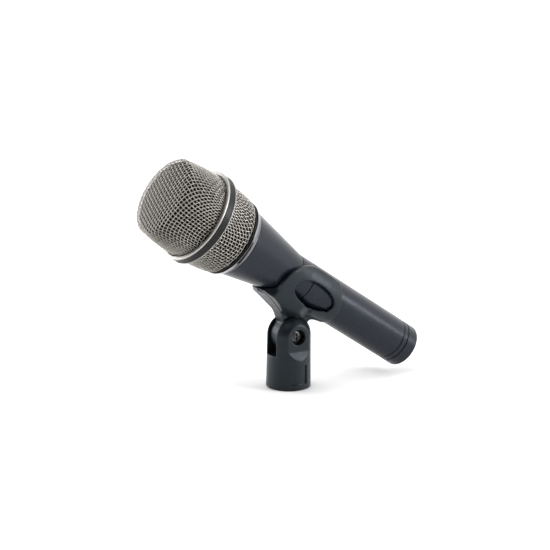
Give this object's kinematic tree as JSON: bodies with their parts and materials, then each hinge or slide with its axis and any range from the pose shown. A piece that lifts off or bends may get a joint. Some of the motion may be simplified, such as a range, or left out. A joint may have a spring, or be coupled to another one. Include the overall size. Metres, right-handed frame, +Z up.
{
  "type": "dynamic microphone",
  "caption": "Handheld dynamic microphone with a woven wire grille and a tapered metal handle, held in a tilting stand clip with a threaded foot.",
  "frame": {"origin": "centre of the stand clip's bottom face, on the axis of the stand thread", "axes": "+Z up along the stand thread, the microphone lies in the XZ plane with its head towards -X, and +Y is along the clip's tilt axis"},
  "size_m": [0.1677, 0.0512, 0.1272],
  "materials": {
    "dark_lacquer": "satin metallic lacquer, dark blue-grey",
    "mesh_nickel": "woven wire, warm nickel plate",
    "satin_nickel": "satin nickel plate",
    "polished_steel": "polished",
    "contact_silver": "bright contact plating",
    "black_rubber": "matte",
    "black_foam": "open-cell foam, matte",
    "clip_plastic": "fine moulded grain, slight sheen",
    "black_plastic": "moulded",
    "brass": "turned",
    "black_steel": "black oxide, worn bright in the recess",
    "zinc_steel": "zinc plated",
    "magnet_metal": "ground, nickel plated",
    "copper": "enamelled winding",
    "film": "thin polyester film",
    "board_green": "solder resist",
    "red_wire": "insulated lead",
    "white_wire": "insulated lead"
  },
  "bodies": {
    "clip_foot": {"clip_base": "clip_plastic", "thread_insert": "brass", "pivot_screw": "black_steel", "pivot_nut": "zinc_steel"},
    "clip_cradle": {"clip_holder": "clip_plastic"},
    "microphone": {"handle_front": "dark_lacquer", "joint_ring": "dark_lacquer", "handle_rear": "dark_lacquer", "tail_ring": "dark_lacquer", "tail_cap": "dark_lacquer", "connector_insert": "black_plastic", "connector_pin_1": "contact_silver", "connector_pin_2": "contact_silver", "connector_pin_3": "contact_silver", "connector_set_screw": "zinc_steel", "signal_lead_hot": "red_wire", "signal_lead_cold": "white_wire", "shock_mount": "black_rubber", "capsule_housing": "zinc_steel", "terminal_board": "board_green", "magnet_yoke": "magnet_metal", "magnet": "magnet_metal", "pole_piece": "magnet_metal", "capsule_cover": "zinc_steel"},
    "head": {"front_grille": "mesh_nickel", "foam_liner": "black_foam", "grille_ring": "satin_nickel", "bumper_band": "black_rubber", "rear_grille": "mesh_nickel", "foam_sleeve": "black_foam", "base_gasket": "black_rubber", "collar_ring": "polished_steel"},
    "moving_coil": {"diaphragm": "film", "voice_coil": "copper"}
  },
  "joints": [
    {"name": "clip_tilt", "type": "hinge", "parent": "clip_foot", "child": "clip_cradle", "pos_m": [0, 0, 0.0286], "axis": [0, 1, 0], "range_deg": [-77, 57]},
    {"name": "grip_slide", "type": "slide", "parent": "clip_cradle", "child": "microphone", "axis": [-0.8415, 0, 0.5402], "range_m": [0, 0.12]},
    {"name": "head_release", "type": "slide", "parent": "microphone", "child": "head", "axis": [-0.8415, 0, 0.5402], "range_m": [0, 0.06]},
    {"name": "coil_travel", "type": "slide", "parent": "microphone", "child": "moving_coil", "axis": [-0.8415, 0, 0.5402], "range_m": [-0.0003, 0.0003], "stiffness_N_per_m": 200}
  ]
}
